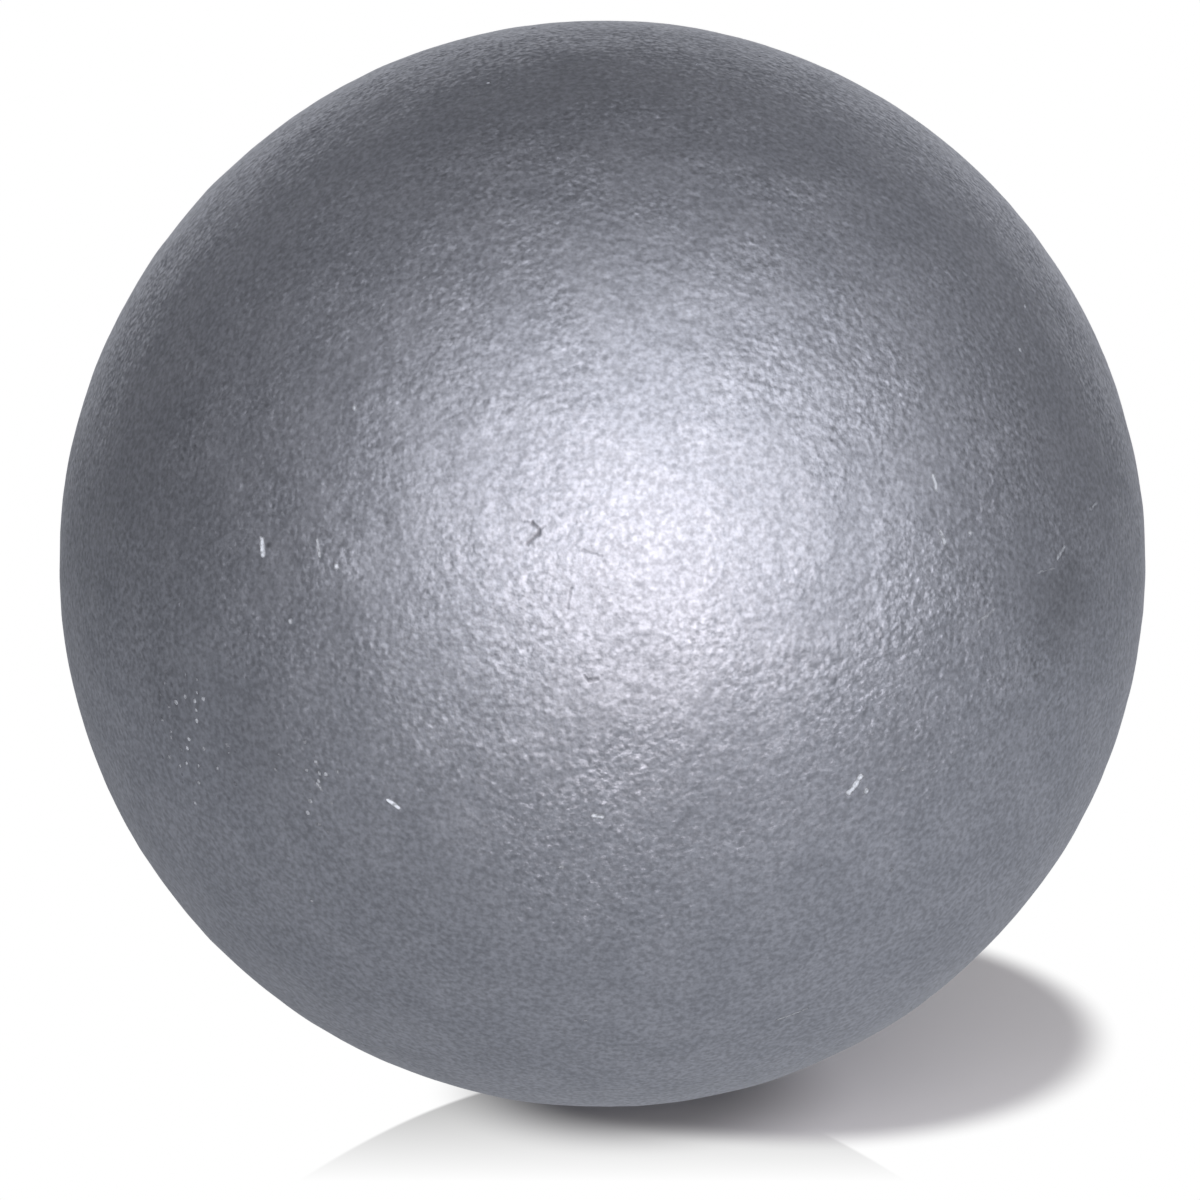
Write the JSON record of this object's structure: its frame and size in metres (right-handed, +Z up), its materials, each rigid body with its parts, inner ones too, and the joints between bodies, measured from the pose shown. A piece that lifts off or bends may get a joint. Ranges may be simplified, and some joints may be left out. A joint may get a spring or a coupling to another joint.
{
  "type": "shot put",
  "caption": "Silver-lacquered cast-iron shot put with a ground resting flat, and a lead-filled weight-adjusting bore closed by a screw plug with a hexagon socket.",
  "frame": {"origin": "middle of the ground flat that the ball rests on", "axes": "+Z up, +Y out of the back of the ball along the plugged bore, so that the picture's side faces -Y"},
  "size_m": [0.125, 0.1242, 0.1236],
  "materials": {
    "silver_lacquer": "satin",
    "cast_lead": "matte",
    "hard_fibre": "matte",
    "soft_copper": "satin",
    "turned_steel": "satin"
  },
  "bodies": {
    "shot": {"shot_body": "silver_lacquer", "lead_slug": "cast_lead", "trim_disc_1": "cast_lead", "trim_disc_2": "cast_lead", "trim_disc_3": "cast_lead", "packing_disc": "hard_fibre"},
    "washer": {"sealing_washer": "soft_copper"},
    "plug": {"closing_plug": "turned_steel"}
  },
  "joints": [
    {"name": "plug_travel", "type": "slide", "parent": "shot", "child": "washer", "axis": [0, 1, 0], "range_m": [0, 0.0125]},
    {"name": "plug_turn", "type": "hinge", "parent": "washer", "child": "plug", "pos_m": [0, 0, 0.06113], "axis": [0, 1, 0], "range_deg": [0, 1800]}
  ],
  "couplings": [
    {"joint": "plug_travel", "follows": "plug_turn", "m_per_rad": 0.00039789}
  ]
}
